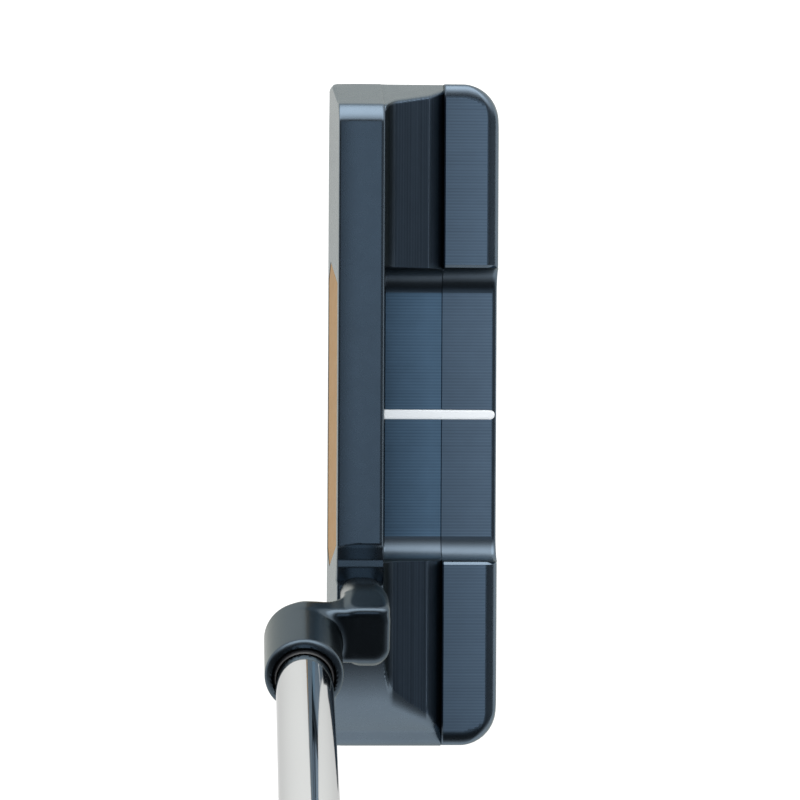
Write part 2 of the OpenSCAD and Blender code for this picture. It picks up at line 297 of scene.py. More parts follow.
class Nodes:
    """A short way to wire up a material's nodes."""

    def __init__(self, name):
        self.material = bpy.data.materials.new(name)
        self.material.use_nodes = True
        self.tree = self.material.node_tree
        self.shader = self.tree.nodes["Principled BSDF"]

    def add(self, kind, inputs=None, **settings):
        """A new node with its inputs linked or set."""
        node = self.tree.nodes.new(kind)
        for key, value in settings.items():
            setattr(node, key, value)
        for key, value in (inputs or {}).items():
            self.put(node, key, value)
        return node

    def put(self, node, key, value):
        """Links an input to a socket, or sets it to a value."""
        socket = node.inputs[key]
        if isinstance(value, bpy.types.NodeSocket):
            self.tree.links.new(value, socket)
        else:
            socket.default_value = value

    def set(self, **inputs):
        """Links or sets inputs of the material's shader."""
        for key, value in inputs.items():
            self.put(self.shader, key.replace("_", " "), value)

    def coords(self):
        return self.add("ShaderNodeTexCoord").outputs["Object"]

    def noise(self, scale, detail=2.0, rough=0.5, coords=None):
        node = self.add("ShaderNodeTexNoise", {"Scale": scale, "Detail": detail, "Roughness": rough})
        self.put(node, "Vector", coords if coords else self.coords())
        return node.outputs["Fac"]

    def math(self, operation, a, b=0.0):
        return self.add("ShaderNodeMath", {0: a, 1: b}, operation=operation).outputs[0]

    def remap(self, value, low, high, from_low=0.0, from_high=1.0):
        node = self.add("ShaderNodeMapRange", {"Value": value, "From Min": from_low, "From Max": from_high,
                                               "To Min": low, "To Max": high})
        return node.outputs["Result"]

    def mix(self, factor, a, b):
        """A mixture of two plain colours."""
        return self.add("ShaderNodeMix", {0: factor, 6: (*a, 1), 7: (*b, 1)}, data_type="RGBA").outputs[2]

    def ripples(self, axis, pitch):
        """A wave along one axis of the object, with its pitch in metres, from 0 to 1."""
        split = self.add("ShaderNodeSeparateXYZ", {"Vector": self.coords()})
        turns = self.math("MULTIPLY", split.outputs[axis], 2 * math.pi / pitch)
        return self.remap(self.math("SINE", turns), 0.0, 1.0, -1.0, 1.0)

    def bump(self, height, strength, distance):
        node = self.add("ShaderNodeBump", {"Height": height, "Strength": strength, "Distance": distance})
        return node.outputs["Normal"]


def scaled(colour, factor):
    """A colour made lighter or darker."""
    return tuple(factor * c for c in colour)


NAVY = (0.108, 0.142, 0.178)
NAVY_EDGE = (0.69, 0.70, 0.66, 1)         # colour of the coating seen at a grazing angle


def navy_steel(name, base=NAVY, rough=0.27, lines=None, pitch=0.00055, depth=0.000006, streaks=0.0,
               painted_light_fade=None):
    """Satin navy coating on steel: blasted grain, or fine milling lines across one axis.

    Streaks makes the lines less even. The painted-light fade scales the colour along X, painting shade where
    it darkens and sheen where it lightens: its two levels, and the two places that they belong to.
    """
    n = Nodes(name)
    n.set(Metallic=1.0, Specular_Tint=NAVY_EDGE)
    n.set(Roughness=n.remap(n.noise(500, 3), rough - 0.02, rough + 0.03))
    if lines is None:
        n.set(Base_Color=n.mix(n.noise(140, 3), scaled(base, 0.93), scaled(base, 1.07)))
        n.set(Normal=n.bump(n.noise(5200, 3), 0.35, 0.00002))
        return n.material
    wave = n.ripples(lines, pitch)
    stretch = {"X": (2600, 14, 14), "Y": (14, 2200, 14)}[lines]
    stretched = n.add("ShaderNodeVectorMath", {0: n.coords(), 1: stretch}, operation="MULTIPLY")
    streak = n.noise(1.0, 3, 0.6, stretched.outputs[0])
    even = n.math("MULTIPLY", wave, 0.45 - 0.35 * streaks)
    tone = n.math("ADD", even, n.math("MULTIPLY", streak, 0.75))
    spread = 0.16 + 0.22 * streaks
    colour = n.mix(n.remap(tone, 0.0, 1.0, 0.2, 0.95), scaled(base, 1 - spread), scaled(base, 1 + spread))
    # Painted light: the colour is scaled down towards one place and up towards the other, as painted shade
    # and painted sheen.
    if painted_light_fade:
        from_level, to_level, from_x, to_x = painted_light_fade
        along = n.add("ShaderNodeSeparateXYZ", {0: n.coords()}).outputs[0]
        wander = n.math("MULTIPLY", n.math("SUBTRACT", n.noise(60, 2), 0.5), 0.7 * (to_x - from_x))
        share = n.remap(n.math("ADD", along, wander), from_level, to_level, from_x, to_x)
        scale = n.add("ShaderNodeVectorMath", {0: colour}, operation="SCALE")
        n.put(scale, "Scale", share)
        colour = scale.outputs[0]
    n.set(Base_Color=colour)
    n.set(Normal=n.bump(tone, 0.5, depth))
    return n.material


def plain(name, colour, rough, metallic=0.0, grain=600, depth=0.00003, vary=0.85, **extra):
    """A simple material with some variation of colour and roughness and a fine grain."""
    n = Nodes(name)
    n.set(Metallic=metallic, **extra)
    n.set(Base_Color=n.mix(n.noise(grain * 0.3, 3), scaled(colour, vary), colour))
    n.set(Roughness=n.remap(n.noise(grain, 3), rough * 0.85, min(rough * 1.15, 1.0)))
    n.set(Normal=n.bump(n.noise(grain * 2, 2), 0.3, depth))
    return n.material


def bronze_face():
    """Bronze-coloured face plate with fine horizontal milling."""
    n = Nodes("bronze_face")
    n.set(Metallic=1.0, Specular_Tint=(0.62, 0.50, 0.36, 1))
    n.set(Base_Color=n.mix(n.noise(150, 3), (0.36, 0.225, 0.105), (0.44, 0.285, 0.14)))
    n.set(Roughness=n.remap(n.noise(500, 3), 0.28, 0.36))
    n.set(Normal=n.bump(n.ripples("Z", 0.0005), 0.5, 0.00002))
    return n.material


def chrome():
    """Bright chrome plate with the faintest polishing marks."""
    n = Nodes("chrome_tube")
    n.set(Metallic=1.0, Specular_Tint=(0.62, 0.62, 0.62, 1))
    n.set(Base_Color=n.mix(n.noise(40, 2), (0.60, 0.612, 0.606), (0.63, 0.642, 0.636)))
    n.set(Roughness=n.remap(n.noise(60, 2), 0.045, 0.075))
    n.set(Normal=n.bump(n.noise(300, 2), 0.05, 0.00002))
    return n.material


BLAST = navy_steel("navy_blast")
# Milled wings: a lighter copy of the navy coating that brightens further towards the rear, painted sheen over
# the real milling lines.
MILL_WING_PAINTED_SHEEN = navy_steel("navy_milled_wing_painted_sheen", (0.155, 0.205, 0.262), 0.30, "Y",
                       painted_light_fade=(0.95, 1.22, 0.0055, 0.0138))
# Channel: a darker copy of the navy coating, darkened to a quarter at the foot of the topline's wall, painted
# shade over the real milling lines.
MILL_CHANNEL_PAINTED_SHADE = navy_steel("navy_milled_channel_painted_shade", (0.088, 0.124, 0.170), 0.30, "X", 0.0005, 0.000004,
                          streaks=1.0, painted_light_fade=(0.25, 1.0, (TOP_REAR + 0.9) * MM, (TOP_REAR + 2.6) * MM))
# Pocket floor: a lighter, bluer copy of the navy coating, darker by the topline and lighter towards the
# wings, painted shade and painted sheen over the real milling lines.
MILL_POCKET_PAINTED_LIGHT = navy_steel("navy_milled_pocket_painted_light", (0.128, 0.200, 0.275), 0.30, "Y",
                         painted_light_fade=(0.66, 1.12, -0.0050, 0.0035))
# Neck: a darker copy of the navy coating, painted shade.
NECK_STEEL_PAINTED_SHADE = navy_steel("navy_neck_painted_shade", (0.066, 0.087, 0.108), 0.25)
# Coves: a rougher finish with a darker copy of the navy coating, painted shade in the concave ends of the
# pocket.
COVE_PAINTED_SHADE = navy_steel("navy_cove_painted_shade", (0.092, 0.120, 0.150), 0.35)
BRONZE = bronze_face()
CHROME = chrome()
# White sight-line paint with a faint emission: the glow is painted light.
GLOWING_PAINT = plain("white_paint", (0.93, 0.94, 0.96), 0.5, grain=900, vary=0.97,
              Emission_Color=(0.88, 0.95, 1.0, 1), Emission_Strength=0.40)
EPOXY = plain("black_epoxy", (0.012, 0.013, 0.015), 0.32, grain=500, depth=0.00006)
BACKER = plain("pale_elastomer", (0.72, 0.70, 0.64), 0.5)
BOND = plain("black_adhesive", (0.02, 0.02, 0.02), 0.6)
SEAL = plain("seal_rubber", (0.02, 0.02, 0.022), 0.55)
WEIGHT = plain("weight_steel", (0.11, 0.15, 0.21), 0.30, metallic=1.0, grain=900)
PLUG = plain("plug_plastic", (0.62, 0.58, 0.48), 0.5)
BAND = plain("band_film", (0.03, 0.065, 0.12), 0.28)
TAPE = plain("tape_paper", (0.70, 0.64, 0.50), 0.8)
CORE = plain("core_rubber", (0.08, 0.08, 0.08), 0.75)
SKIN = plain("grip_skin", (0.022, 0.034, 0.055), 0.62, grain=2500, depth=0.00008)
CAP_RUBBER = plain("cap_rubber", (0.016, 0.020, 0.026), 0.55)


def dress(obj, *materials):
    """Gives an object its materials, in the order of its slots."""
    if obj.data.materials:
        obj.data.materials.clear()
    for material in materials:
        obj.data.materials.append(material)


# ---------------------------------------------------------------- head

def slope_curve(runs, angles):
    """A falling curve given by its angle at some distances, as distances and how far it has fallen."""
    run = np.linspace(0, runs[-1], 601)
    angle = np.radians(np.interp(run, runs, angles))
    fall = np.cumsum(np.tan((angle[1:] + angle[:-1]) / 2)) * (run[1] - run[0])
    return run, np.concatenate([[0], fall])


TOE_CURVE = slope_curve([0, 0.5, 3.1, 3.35, 9.0], [0, 18, 45, 73, 73])
HEEL_CURVE = slope_curve([0, 0.5, 2.0, 3.2], [56, 40.5, 40.5, 70])
CHANNEL_CURVE = slope_curve([0, 0.2, 0.9, 2.0, 2.001, 2.6, KNEE, KNEE + 0.001, 12],
                            [85, 76, 64, 57, 35, 33.4, 34.5, 55.5, 56.5])


def toe_drop(y):
    """How far the toe falls below the topline: a soft crease, a broad rounding and a steep slope."""
    return np.interp(np.asarray(y, float) - TOE_START, *TOE_CURVE)


def toe_height(y):
    """Height of the toe's slope."""
    return np.where(y < TOE_START, 60.0, TOPLINE - toe_drop(y))


def heel_height(y):
    """Height of the heel shoulder: one large arc, with a flatter strip along the heel's end."""
    r, last = 33.0, 3.2 - HALF
    centre_y, centre_z = -HALF + r - 2.2, -5.4
    inner = np.maximum(r * r - (np.maximum(y, last) - centre_y) ** 2, 0)
    return np.where(y > centre_y, 60.0, centre_z + np.sqrt(inner) - np.interp(last - y, *HEEL_CURVE))


def end_low(y):
    """Height of the sole as it rises towards the toe and the heel."""
    a = np.abs(y)
    rise = 0.7 * (np.clip(a - 33, 0, None) / 13) ** 1.5
    nose = 3.0
    t = np.clip((a - (HALF - nose)) / nose, 0, 1)
    return rise + 1.5 * (1 - np.sqrt(np.maximum(1 - t ** 2, 0)))


def ramp(t):
    """An S-shaped step from 0 to 1."""
    t = np.clip(t, 0, 1)
    return t * t * (3 - 2 * t)


def notch_height(y):
    """Level of the topline where it steps down on the toe side of the neck: a slope, a ledge and a slope."""
    marks = np.array([-29.6, -26.9, -25.5, -23.3, -22.85])
    levels = TOPLINE - np.array([2.6, 1.38, 1.34, 0.42, 0.05])
    soft = np.mean([np.interp(y + shift, marks, levels) for shift in np.linspace(-0.15, 0.15, 5)], axis=0)
    return np.where((y > NOTCH_HIGH) | (y < NOTCH_LOW), TOPLINE + 5, soft)


def side_height(x):
    """Level behind the topline away from the pocket: wall, channel and the foot of the wings."""
    channel = CHANNEL_TOP - np.interp(x - TOP_REAR, *CHANNEL_CURVE)
    return np.maximum(TOPLINE - TOP_WALL * (x - TOP_REAR), channel)


def inside_plan(x, y):
    """Distance from the rear outline seen from above, with its round corners."""
    qx = x - (REAR - CORNER)
    qy = np.abs(y) - (HALF - CORNER)
    outer = np.hypot(np.maximum(qx, 0), np.maximum(qy, 0))
    return CORNER - outer - np.minimum(np.maximum(qx, qy), 0)


def rolled(d, r):
    """How far an edge rounding of radius r falls at a distance d inside the edge."""
    d = np.clip(r - d, 0, r)
    return r - np.sqrt(np.maximum(r * r - d * d, 0))


def wing_roll(x, y):
    """How far a point of a wing is into the roundings along its rear and its end, from 0 to 1."""
    rear = REAR - plan_inset(y, CORNER)
    d = np.clip(x - (REAR - CORNER), 0, CORNER)
    end = HALF - DRAFT - CORNER + np.sqrt(np.maximum(CORNER ** 2 - d ** 2, 0))
    gx = np.clip(1 - (rear - x) / ROLL, 0, 1)
    gy = np.clip(1 - (end - np.abs(y)) / END_ROLL, 0, 1)
    lean = np.clip((np.abs(y) - end) / DRAFT, 0, 1)
    return gx, gy, lean


def wing_height(x, y):
    """Level of a wing: flat, with its edge rolled over at the rear, the ends and the pocket."""
    gx, gy, lean = wing_roll(x, y)
    z = WING - ROLL * (1 - np.sqrt(1 - gx ** 2)) - 0.6 * END_ROLL * (1 - np.sqrt(1 - gy ** 2)) - 6.0 * lean
    z = z - 0.9 * np.clip(0.5 - np.abs(y) + POCKET, 0, 0.5)
    return z - np.maximum(0.22 - (x - WING_X), 0)


def pocket_height(x, y):
    """Level of the centre pocket, with a cove at each end and a rounded rear edge."""
    front = x < WING_X
    d = np.clip(np.abs(y) - (POCKET - COVE) + np.where(front, POCKET - POCKET_FRONT, 0), 0, COVE)
    seam = 0.10 * np.clip(1 - np.abs(x - WING_X + 0.08) / 0.08, 0, 1)
    floor = FLOOR - np.where(front, 0.05, 0.0) - seam
    z = floor + COVE - np.sqrt(np.maximum(COVE ** 2 - d ** 2, 0))
    wall = TOPLINE - TOP_WALL * (x - TOP_REAR)
    return smax(z, wall, 2.2) - rolled(inside_plan(x, y), 0.8)


def topline_height(x, y):
    """Level of the topline: a slight crown, and the notch beside the neck."""
    crown = 0.34 * np.clip((-9.4 - x) / 4.6, 0, 1) ** 2 + rolled(TOP_REAR - x, 0.7)
    dip = np.where(x < TOP_REAR + 0.05, notch_height(y), TOPLINE + 5)
    return np.minimum(TOPLINE - crown, dip) - toe_drop(y)


def top_height(x, y):
    """Height of the upper surface of the head, and the slot of its finish.

    The slots are 0 blasted, 1 milled wing, 2 milled channel, 3 milled pocket and 4 cove.
    """
    side = side_height(x)
    on_wing = x >= WING_X
    pocket = pocket_height(x, y)
    in_pocket = np.abs(y) < np.where(on_wing, POCKET, POCKET_FRONT)
    ends = np.minimum(toe_height(y), heel_height(y))
    beyond = np.where(on_wing, wing_height(x, y), side)
    z = np.where(in_pocket, np.minimum(np.where(on_wing, 60.0, side + 1e-3), pocket), beyond)
    finish = np.where(in_pocket, np.where(on_wing, 1, 3), np.where(on_wing, 1, 2))
    coved = np.abs(y) > POCKET - COVE - 0.3
    finish = np.where(in_pocket & coved, 4, finish)
    ridge = topline_height(x, y)
    z = np.where(x < TOP_REAR - 1.2, ridge, np.where(on_wing, z, smin(z, ridge, 1.5)))
    finish = np.where(x < TOP_REAR + 0.05, 0, finish)
    radius = np.maximum(2.2 * np.clip((TOPLINE - 0.4 - z) / 1.5, 0, 1) * ramp((x - TOP_REAR) / 1.6), 1e-4)
    cut_z = np.where(on_wing & ~in_pocket, z, np.minimum(smin(z, ends, radius), z))
    finish = np.where(~on_wing & (ends < z + 0.8), 0, finish)
    gx, gy, _ = wing_roll(x, y)
    rolled_off = on_wing & ~in_pocket & ((np.maximum(gx, gy) > 0.02) | (np.abs(y) - POCKET < 0.49))
    finish = np.where(rolled_off | (REAR - x < 0.85), 0, finish)
    return cut_z, finish


def sole_height(x, y):
    """Height of the sole: flat in the middle, with a rise to every edge."""
    ahead = np.clip((-7 - x) / 8.3, 0, 1)
    behind = np.clip((x - 7) / 8.2, 0, 1)
    return np.hypot(2.3 * ahead ** 2.2 + 2.6 * behind ** 2.4, end_low(y))


def face_x(z):
    """X of the face at a height."""
    return TOP_FRONT - (TOPLINE - z) * math.tan(LOFT)


def plan_inset(y, corner):
    """How far a rounded corner pulls an edge in at Y."""
    d = np.clip(np.abs(y) - (HALF - corner), 0, corner)
    return corner - np.sqrt(np.maximum(corner ** 2 - d ** 2, 0))


def head_stations():
    """Y of each cross-section, close together where the shape turns."""
    cove = (POCKET - COVE) + COVE * np.sin(np.linspace(0, math.pi / 2, 18))
    lip = POCKET + np.array([0.004, 0.17, 0.34, 0.48, 0.505])
    lip = np.concatenate([lip, [POCKET_FRONT - 0.004, POCKET_FRONT + 0.004]])
    nose = HALF - DRAFT - END_ROLL * (1 - np.sin(np.linspace(0, math.pi / 2, 18)))
    nose = np.concatenate([nose, [HALF - DRAFT / 2, HALF]])
    marks = [np.arange(-52, 52.01, 1.0), cove, -cove, lip, -lip, nose, -nose]
    marks.append(np.arange(NOTCH_LOW, NOTCH_HIGH + 0.3, 0.12))
    marks.append(np.arange(-57.0, -40.5, 0.32))
    marks.append(np.arange(TOE_START, 57.2, 0.17))
    marks.append([-22.79, -22.82])
    every = np.unique(np.round(np.concatenate(marks), 4))
    keep = [every[0]]
    for y in every[1:]:
        a = abs(y)
        near_lip = abs(a - POCKET) < 0.02 or abs(a - POCKET_FRONT) < 0.02 or abs(a - HALF) < 0.06
        if y - keep[-1] > 0.02 or near_lip:
            keep.append(y)
    return np.array(keep)


def head_columns():
    """X of each column of the upper surface, from the topline's front edge to the wings' rounding."""
    front = TOP_FRONT + np.array([0.0, 0.01, 0.04, 0.09, 0.18, 0.4, 0.8, 1.3])
    topline = np.linspace(TOP_FRONT + 1.9, TOP_REAR - 1.3, 8)
    edge = TOP_REAR + np.arange(-1.1, 0.36, 0.1)
    foot = TOP_REAR + np.concatenate([np.arange(0.42, 1.95, 0.13), [2.0]])
    knee = TOP_REAR + KNEE
    channel = np.concatenate([np.linspace(TOP_REAR + 2.2, knee - 0.1, 28), [knee],
                              np.linspace(knee + 0.15, WING_X - 0.25, 12)])
    step = WING_X + np.array([-0.16, -0.08, -0.001, 0.004, 0.08, 0.16, 0.24, 0.5])
    wing = np.linspace(WING_X + 0.9, REAR - ROLL - 0.03, 12)
    return np.concatenate([front, topline, edge, foot, channel, step, wing])


def head_loop(y, columns):
    """One closed cross-section: up the face, over the top, down the rear and back along the sole."""
    front_in = plan_inset(y, FRONT_CORNER)
    rear = REAR - plan_inset(y, CORNER)
    back = REAR - ROLL * (1 - np.sin(np.radians(np.linspace(0, 90, 16))))
    top = np.concatenate([columns, back])
    lead = np.clip((TOP_REAR - top) / (TOP_REAR - TOP_FRONT), 0, 1)
    tail = np.clip((top - WING_X - 0.5) / (REAR - ROLL - WING_X - 0.5), 0, 1)
    x = top + front_in * lead - (REAR - rear) * tail
    z, finish = top_height(np.where(top < WING_X + 0.5, top, x), np.full_like(top, y))
    z = z - rolled(top - TOP_FRONT, 0.18)
    flat = np.linspace(REAR - 1.2, -14.0, 40)
    x_sole = np.concatenate([REAR - 1.2 + 1.2 * np.linspace(1, 0, 6)[:-1], flat[1:], [-14.5, -14.9, -15.15]])
    z_sole = sole_height(x_sole, np.full_like(x_sole, y))
    ratio = (rear - FACE_FOOT) / (REAR - FACE_FOOT)
    x_low = FACE_FOOT + (x_sole - FACE_FOOT) * ratio + front_in * np.clip((-8 - x_sole) / 7, 0, 1)
    z = np.maximum(z, np.interp(x, x_low[::-1], z_sole[::-1]) + 0.02)
    z_lead = z_sole[-1] + 0.35
    z_face = np.linspace(z_lead, max(z[0], z_lead + 0.02), 26)[:-1]
    x_face = face_x(z_face) + front_in
    low_back = z_sole[0] + 0.5
    z_rear = np.linspace(max(z[-1], low_back + 0.02), low_back, 8)[1:]
    x_rear = np.full_like(z_rear, rear)
    xs = np.concatenate([x_face, x, x_rear, x_low])
    zs = np.concatenate([z_face, z, z_rear, z_sole])
    kinds = np.concatenate([np.zeros(len(x_face)), finish, np.zeros(len(x_rear)), np.zeros(len(x_low))])
    return xs, zs, kinds


def prism(name, outline, place, low, high):
    """A solid between two copies of an outline; place turns (depth, u, v) into millimetres."""
    u, v = np.asarray(outline, float).T
    return stacked(name, [place(d, u, v) for d in (low, high)])


def on_face(depth, y, z):
    """Points in the frame of the face: depth goes into the head, z runs up the face."""
    sole_front = TOP_FRONT - TOPLINE * math.tan(LOFT)
    x = sole_front + depth * math.cos(LOFT) + z * math.sin(LOFT)
    return np.stack([x + 0 * y, y + 0 * z, z * math.cos(LOFT) - depth * math.sin(LOFT) + 0 * y], -1)


def insert_outline(grow=0.0):
    """Corners of the face insert in the frame of the face, grown by a margin."""
    low, widest, high = 4.2 - grow, 8.0, 22.8 + grow
    half_low, half_widest, half_high = 24.3 + grow, 27.3 + grow, 22.8 + grow
    return [(-half_low, low), (half_low, low), (half_widest, widest),
            (half_high, high), (-half_high, high), (-half_widest, widest)]


def disc(radius, count):
    """Corners of a round outline."""
    t = np.linspace(0, 2 * math.pi, count, endpoint=False)
    return np.stack([radius * np.cos(t), radius * np.sin(t)], -1)


def upright(centre):
    """A way to place an outline round a vertical line through a point."""
    return lambda d, u, v: np.stack([centre[0] + u, centre[1] + v, d + 0 * u], -1)


def line_outline(inset):
    """Outline of the sight line from above, square in front and round behind, drawn in by an inset."""
    full = LINE_HIGH[1]
    x0, x1, half = LINE_LOW[0] + inset, LINE_HIGH[0] - full, full - inset
    round_end = [(x1 + half * math.sin(t), -half * math.cos(t)) for t in np.linspace(0, math.pi, 17)]
    return [(x0, -half), *round_end, (x0, half)]


def make_head():
    """The milled head as one closed loft from heel to toe, with its ports and recess cut out."""
    stations, columns = head_stations(), head_columns()
    rows, kinds = [], []
    for y in stations:
        x, z, kind = head_loop(y, columns)
        rows.append(np.stack([x, np.full_like(x, y), z], -1))
        kinds.append(kind)
    cols = len(rows[0])
    points = np.concatenate(rows)
    quads = grid_faces(len(rows), cols)
    slots = np.concatenate(kinds)[quads].min(1).astype(int)
    faces = quads[:, ::-1].tolist()
    faces.append(list(range(cols)))
    faces.append(list(range(len(points) - 1, len(points) - cols - 1, -1)))
    slots = np.concatenate([slots, [0, 0]])
    head = make_mesh("head_shell", points, faces, slots, sharp=20)
    dress(head, BLAST, MILL_WING_PAINTED_SHEEN, MILL_CHANNEL_PAINTED_SHADE, MILL_POCKET_PAINTED_LIGHT, COVE_PAINTED_SHADE)
    cut(head, prism("recess", insert_outline(RIM), on_face, -1.0, RECESS))
    for side in (1, -1):
        centre = (WEIGHT_LOW + WEIGHT_HIGH) / 2 * [1, side, 1]
        cut(head, prism("flange_port", disc(FLANGE + PORT_GAP, 96), upright(centre), -1.0, 3.5))
        cut(head, prism("shank_port", disc(SHANK + PORT_GAP, 64), upright(centre), 1.0, 9.2))
    cut(head, prism("groove", line_outline(-LINE_GAP), upright((0, 0)), FLOOR - 0.4, FLOOR + 0.25))
    finish_edges(head, 20)
    return head


def neck_field(p):
    """Distance-like field of the neck: post, arm and hosel tube, blended together."""
    rel = p - NECK
    xl = rel @ ACROSS
    e = rel @ TOEWARD
    w = rel @ AXIS
    x, y, z = p[..., 0], p[..., 1], p[..., 2]

    def slab(v, low, high):
        return np.abs(v - (low + high) / 2) - (high - low) / 2

    def round_box(dx, dy, r):
        ax, ay = dx + r, dy + r
        return np.minimum(np.maximum(ax, ay), 0) + np.hypot(np.maximum(ax, 0), np.maximum(ay, 0)) - r

    # The post stands in the head, and is trimmed at its foot, its top and its toe side.
    post = round_box(slab(x, POST_FRONT, TOP_REAR), slab(y, -42.2, -28.7), 2.9)
    post = smax(post, NECK_FOOT - z, 0.5)
    post = smax(post, w - ARM_TOP, 2.2)
    post = smax(post, e - 6.2, 1.2)

    # The arm runs forward from the post, with a round arch below it.
    front, under = POST_FRONT - NECK[0] - xl, ARM_LOW - w
    in_arch = (front < ARCH) & (under < ARCH)
    arch = np.where(in_arch, ARCH - np.hypot(ARCH - front, ARCH - under), np.minimum(front, under))
    arm = round_box(slab(xl, -2.0, TOP_REAR - NECK[0]), slab(e, -4.0, 5.9), 2.6)
    arm = smax(arm, w - ARM_TOP, 1.5)
    arm = np.maximum(smax(arm, arch, 0.7), -7.0 - w)
    body = smin(arm, post, 0.3)

    # The hosel has a sloping lip, and a bore that widens at its mouth.
    radius = np.hypot(xl, e)
    tube = smax(radius - TUBE, -1.8 - w, 1.6)
    tube = smax(tube, w - LIP + 0.5 * (radius - MOUTH_BORE), 0.6)
    body = smin(body, tube, 1.3)
    bore = np.where(w > MOUTH, MOUTH_BORE, BORE) - radius
    bore = np.where(w < -0.9, -5.0, bore)
    return smax(body, bore, 0.2)


def make_neck():
    """The crank neck, from its foot inside the head to the mouth of the hosel."""
    low = np.array([-27.6, -52.0, NECK_FOOT - 0.8])
    high = np.array([TOP_REAR + 0.6, -27.6, 69.6])
    step = 0.26
    points, quads = surface_nets(neck_field, low, high, step)
    neck = make_mesh("neck_shell", points, quads.tolist(), sharp=50)
    dress(neck, NECK_STEEL_PAINTED_SHADE)
    return neck


# ---------------------------------------------------------------- shaft and grip

def shaft_profile():
    """Half section of the stepped tube, outer side up and inner side down."""
    tip_r, butt_r, steps, wall = 4.7, 7.4, 12, 0.6
    first_step, step_length = 230, 30
    outer = [(tip_r, SHAFT_LOW)]
    for i in range(steps):
        w = SHAFT_LOW + first_step + step_length * i
        a = tip_r + (butt_r - tip_r) * i / steps
        b = tip_r + (butt_r - tip_r) * (i + 1) / steps
        outer += [(a, w - 0.3), (a + (b - a) * 0.12, w + 0.1), (a + (b - a) * 0.88, w + 1.0), (b, w + 1.4)]
    outer.append((butt_r, BUTT_W - CAP - 0.02))
    inner = [(r - wall, w) for r, w in reversed(outer)]
    return outer + inner


def make_shaft():
    """The stepped steel tube."""
    shaft = lathe("shaft_tube", shaft_profile(), NECK, AXIS, ACROSS, 128, sharp=40)
    dress(shaft, CHROME)
    return shaft


def make_epoxy():
    """The adhesive sleeve, with a slightly uneven collar in the hosel's mouth."""
    inner, outer, wide = 4.72, BORE - 0.02, MOUTH_BORE - 0.02
    profile = [(inner, SHAFT_LOW), (outer, SHAFT_LOW), (outer, MOUTH + 0.02), (wide, MOUTH + 0.02),
               (wide, 14.5), (5.2, 14.62), (5.06, 14.85), (4.95, 15.15), (4.85, 15.6), (4.76, 16.1),
               (inner, 16.15)]
    ring = lathe("epoxy_ring", profile, NECK, AXIS, ACROSS, 96, sharp=60)
    dress(ring, EPOXY)
    return ring


def grip_radius(w, angle):
    """Outer radius of the grip at a distance along the shaft and an angle round it.

    The angle is 0 on the flat side that faces away from the player.
    """
    down = BUTT_W - w
    places = [CAP, 60, 150, GRIP]
    width = np.interp(down, places, [26.0, 24.5, 22.5, 20.0])
    back = np.interp(down, places, [3.0, 3.4, 0.4, 0.0])
    r = width / 2
    c = np.cos(angle)
    rear = np.sqrt(np.maximum((0.92 * r) ** 2 - (back * np.sin(angle)) ** 2, 0.01)) - back * c
    round_part = smax(r + 0 * c, rear, 2.5) - 0.12
    flat = 10.0 / np.maximum(c, 0.05)
    return smin(round_part, flat, 1.6)


def ring_on_shaft(radius, angle, w):
    """Points round the shaft at a radius, an angle and a distance along it."""
    return on_shaft(radius * np.sin(angle), radius * np.cos(angle), w + 0 * angle)


def make_grip():
    """The grip's skin: a tapered pistol shape with shallow grooves on its rear and sides."""
    low_w, top_w = BUTT_W - GRIP, BUTT_W - CAP
    count = 480
    around = 128
    w = np.linspace(low_w, top_w, count)
    angle = np.linspace(0, 2 * math.pi, around, endpoint=False)
    ww, aa = np.meshgrid(w, angle, indexing="ij")
    radius = grip_radius(ww, aa)
    down = BUTT_W - ww
    zone = np.clip((down - 14) / 3, 0, 1) * np.clip((250 - down) / 3, 0, 1)
    wrap = np.clip((np.abs(((aa + math.pi) % (2 * math.pi)) - math.pi) - 0.75) / 0.15, 0, 1)
    pitch = 4.4
    groove = np.clip(np.cos(2 * math.pi * down / pitch) * 3 - 2, 0, 1)
    radius = radius - 0.28 * groove * zone * wrap
    radius = radius - 1.0 * np.clip((low_w + 1.2 - ww) / 1.2, 0, 1) ** 2
    radius = radius - 0.5 * np.clip((ww - top_w + 0.8) / 0.8, 0, 1) ** 2
    bore = 7.66
    rings = [ring_on_shaft(radius, aa, ww).reshape(-1, 3)]
    rings += [ring_on_shaft(bore, angle, end) for end in (top_w, low_w)]
    grip = make_mesh("grip_skin_piece", np.concatenate(rings), ring_faces(count + 2, around), sharp=50)
    dress(grip, SKIN)
    return grip


def make_cap():
    """The end cap: a slightly domed disc with its vent hole."""
    around = 96
    angle = np.linspace(0, 2 * math.pi, around, endpoint=False)
    low_w = BUTT_W - CAP + 0.02
    rings = []
    for inset, w in ((0.0, low_w), (0.0, low_w + 0.3), (0.0, BUTT_W - 1.1), (0.35, BUTT_W - 0.4),
                     (1.0, BUTT_W - 0.08), (2.2, BUTT_W), (5.0, BUTT_W), (5.4, BUTT_W - 0.5),
                     (6.2, BUTT_W - 0.5), (6.6, BUTT_W)):
        rings.append(ring_on_shaft(grip_radius(BUTT_W - CAP, angle) - inset, angle, w))
    for r, w in ((VENT + 0.6, BUTT_W), (VENT + 0.15, BUTT_W - 0.12), (VENT, BUTT_W - 0.5), (VENT, low_w)):
        rings.append(ring_on_shaft(r, angle, w))
    cap = make_mesh("grip_end_cap", np.concatenate(rings), ring_faces(len(rings), around), sharp=50)
    weld(cap)
    dress(cap, CAP_RUBBER)
    return cap


# ---------------------------------------------------------------- small pieces

